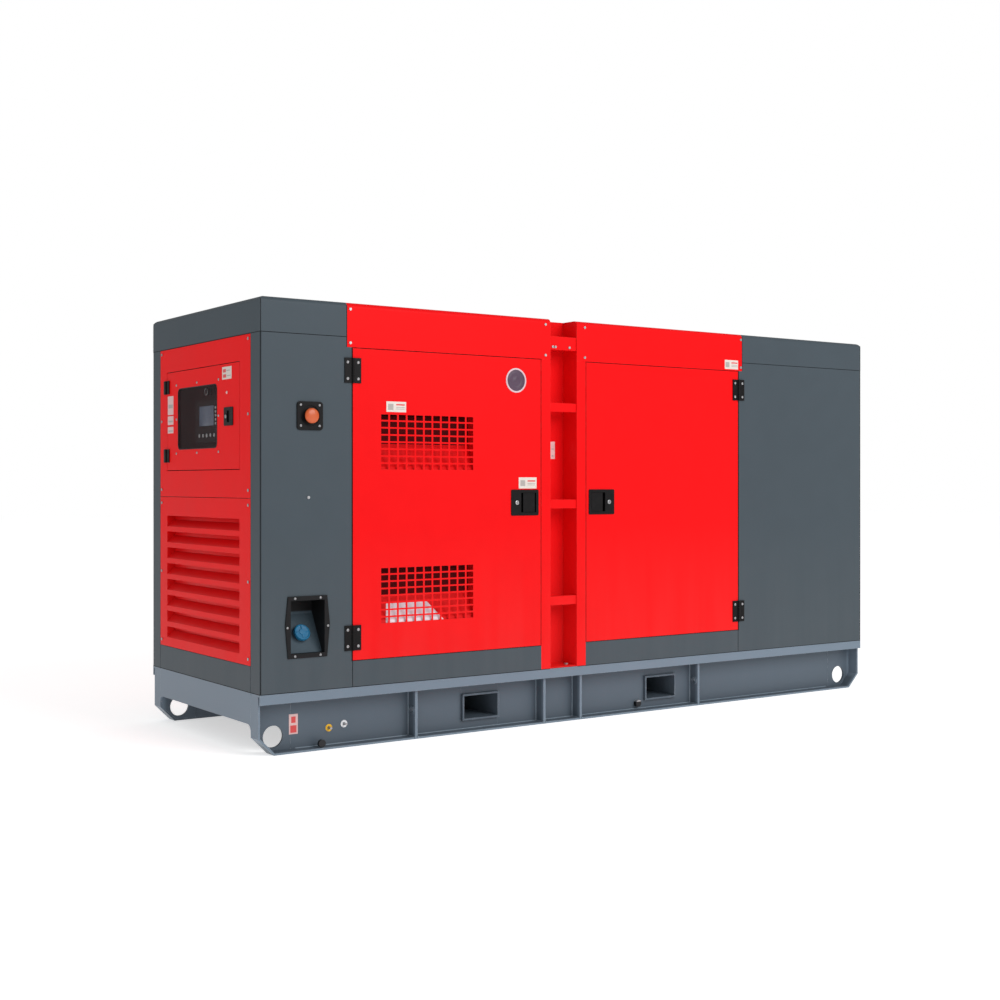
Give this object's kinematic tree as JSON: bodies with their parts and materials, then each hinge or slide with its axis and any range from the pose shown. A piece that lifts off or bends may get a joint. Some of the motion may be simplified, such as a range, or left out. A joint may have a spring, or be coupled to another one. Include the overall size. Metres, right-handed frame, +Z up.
{
  "type": "engine driven generator set",
  "caption": "Skid-mounted engine driven generator set in a soundproof steel canopy with hinged doors, control window, fuel filler and lifting ladder.",
  "frame": {"origin": "centre of the footprint, on the ground", "axes": "+X along the length from the control end to the radiator end, -Y towards the side with the stop button and the fuel filler, +Z up"},
  "size_m": [3.521, 1.1945, 1.891],
  "materials": {
    "canopy_red": "semi-gloss powder coat",
    "canopy_grey": "satin powder coat, slate grey",
    "base_grey": "satin enamel, blue grey",
    "hinge_black": "black moulded zinc and nylon",
    "cabinet_black": "fine textured black",
    "engine_grey": "painted casting",
    "generator_blue": "semi-gloss enamel",
    "copper_winding": "varnished windings",
    "steel_bright": "zinc plated and machined steel",
    "exhaust_steel": "heat-stained steel",
    "radiator_core": "painted aluminium",
    "rubber_black": "matt rubber",
    "tank_black": "moulded black plastic",
    "battery_white": "moulded plastic",
    "window_clear": "clear acrylic",
    "cap_blue": "moulded blue plastic",
    "stop_red": "orange red plastic",
    "stop_yellow": "yellow plastic",
    "fan_yellow": "moulded yellow plastic"
  },
  "bodies": {
    "frame": {"side_rails": "base_grey", "end_beams": "base_grey", "lifting_eyes": "base_grey", "cross_members": "base_grey", "fork_pockets": "base_grey", "fuel_tank": "tank_black", "front_left_panel": "canopy_grey", "side_panels": "canopy_grey", "corner_posts": "canopy_grey", "door_headers": "canopy_red", "lower_panels": "canopy_grey", "ladder_channels": "canopy_red", "ladder_rungs": "canopy_red", "roof_caps": "canopy_grey", "roof_centre": "canopy_red", "control_panel": "canopy_red", "louvre_panel": "canopy_red", "right_end_panel": "canopy_grey", "fixed_hinges": "hinge_black", "fasteners": "steel_bright", "stop_bezel": "hinge_black", "filler_recess": "cabinet_black", "engine_block": "engine_grey", "cylinder_head": "engine_grey", "generator_housing": "generator_blue", "engine_mounts": "rubber_black", "radiator": "radiator_core", "exhaust_silencer": "exhaust_steel", "air_cleaner": "tank_black", "control_box": "cabinet_black", "controller": "hinge_black", "breaker": "hinge_black", "battery": "battery_white", "fan_belt": "rubber_black"},
    "front_left_door": {"front_left_door": "canopy_red", "front_left_hardware": "hinge_black"},
    "front_left_paddle": {"front_left_paddle": "hinge_black"},
    "front_right_door": {"front_right_door": "canopy_red", "front_right_hardware": "hinge_black"},
    "front_right_paddle": {"front_right_paddle": "hinge_black"},
    "rear_left_door": {"rear_left_door": "canopy_red", "rear_left_hardware": "hinge_black"},
    "rear_left_paddle": {"rear_left_paddle": "hinge_black"},
    "rear_right_door": {"rear_right_door": "canopy_red", "rear_right_hardware": "hinge_black"},
    "rear_right_paddle": {"rear_right_paddle": "hinge_black"},
    "control_door": {"control_door": "canopy_red", "control_window": "window_clear", "control_hardware": "hinge_black"},
    "control_paddle": {"control_paddle": "hinge_black"},
    "stop_stem": {"stop_stem": "stop_yellow"},
    "stop_head": {"stop_head": "stop_red"},
    "cap_plug": {"cap_plug": "cap_blue"},
    "fuel_cap": {"fuel_cap": "cap_blue"},
    "crankshaft": {"crankshaft": "steel_bright", "generator_rotor": "copper_winding"},
    "cooling_fan": {"cooling_fan": "fan_yellow"},
    "rain_cap": {"rain_cap": "exhaust_steel"},
    "key_switch": {"key_switch": "hinge_black"},
    "breaker_toggle": {"breaker_toggle": "hinge_black"}
  },
  "joints": [
    {"name": "front_left_door_hinge", "type": "hinge", "parent": "frame", "child": "front_left_door", "pos_m": [-1.3345, -0.5815, 1.006], "axis": [0, 0, -1], "range_deg": [0, 115]},
    {"name": "front_left_paddle_hinge", "type": "hinge", "parent": "front_left_door", "child": "front_left_paddle", "pos_m": [-0.407, -0.57, 1.006], "axis": [0, 0, 1], "range_deg": [0, 35], "stiffness_Nm_per_rad": 0.15},
    {"name": "front_right_door_hinge", "type": "hinge", "parent": "frame", "child": "front_right_door", "pos_m": [0.8505, -0.5815, 1.006], "axis": [0, 0, 1], "range_deg": [0, 115]},
    {"name": "front_right_paddle_hinge", "type": "hinge", "parent": "front_right_door", "child": "front_right_paddle", "pos_m": [-0.077, -0.57, 1.006], "axis": [0, 0, -1], "range_deg": [0, 35], "stiffness_Nm_per_rad": 0.15},
    {"name": "rear_left_door_hinge", "type": "hinge", "parent": "frame", "child": "rear_left_door", "pos_m": [-1.3345, 0.5815, 1.006], "axis": [0, 0, 1], "range_deg": [0, 115]},
    {"name": "rear_left_paddle_hinge", "type": "hinge", "parent": "rear_left_door", "child": "rear_left_paddle", "pos_m": [-0.407, 0.57, 1.006], "axis": [0, 0, -1], "range_deg": [0, 35], "stiffness_Nm_per_rad": 0.15},
    {"name": "rear_right_door_hinge", "type": "hinge", "parent": "frame", "child": "rear_right_door", "pos_m": [0.8505, 0.5815, 1.006], "axis": [0, 0, -1], "range_deg": [0, 115]},
    {"name": "rear_right_paddle_hinge", "type": "hinge", "parent": "rear_right_door", "child": "rear_right_paddle", "pos_m": [-0.077, 0.57, 1.006], "axis": [0, 0, 1], "range_deg": [0, 35], "stiffness_Nm_per_rad": 0.15},
    {"name": "control_door_hinge", "type": "hinge", "parent": "frame", "child": "control_door", "pos_m": [-1.7555, 0.4035, 1.37], "axis": [0, 0, -1], "range_deg": [0, 110]},
    {"name": "control_paddle_hinge", "type": "hinge", "parent": "control_door", "child": "control_paddle", "pos_m": [-1.745, -0.297, 1.37], "axis": [0, 0, 1], "range_deg": [0, 35], "stiffness_Nm_per_rad": 0.08},
    {"name": "stop_press", "type": "slide", "parent": "frame", "child": "stop_stem", "axis": [0, 1, 0], "range_m": [0, 0.006], "stiffness_N_per_m": 600},
    {"name": "stop_twist", "type": "hinge", "parent": "stop_stem", "child": "stop_head", "pos_m": [-1.532, -0.597, 1.366], "axis": [0, 1, 0], "range_deg": [0, 45], "stiffness_Nm_per_rad": 0.2},
    {"name": "cap_lift", "type": "slide", "parent": "frame", "child": "cap_plug", "axis": [0, -0.865, 0.5017], "range_m": [0, 0.06]},
    {"name": "cap_turn", "type": "hinge", "parent": "cap_plug", "child": "fuel_cap", "pos_m": [-1.542, -0.50911, 0.4745], "axis": [0, -0.865, 0.5017], "range_deg": [0, 90]},
    {"name": "crankshaft_spin", "type": "hinge", "parent": "frame", "child": "crankshaft", "pos_m": [0, 0, 0.62], "axis": [1, 0, 0], "continuous": true},
    {"name": "fan_spin", "type": "hinge", "parent": "frame", "child": "cooling_fan", "pos_m": [0.465, 0, 0.835], "axis": [1, 0, 0], "continuous": true},
    {"name": "rain_cap_hinge", "type": "hinge", "parent": "frame", "child": "rain_cap", "pos_m": [1.242, 0, 1.885], "axis": [0, 1, 0], "range_deg": [0, 70]},
    {"name": "key_turn", "type": "hinge", "parent": "frame", "child": "key_switch", "pos_m": [-1.688, 0.056, 1.49], "axis": [1, 0, 0], "range_deg": [0, 60]},
    {"name": "breaker_throw", "type": "hinge", "parent": "frame", "child": "breaker_toggle", "pos_m": [-1.706, -0.248, 1.261], "axis": [0, 1, 0], "range_deg": [0, 40]}
  ],
  "couplings": [
    {"joint": "fan_spin", "follows": "crankshaft_spin", "ratio": 1.2667}
  ]
}
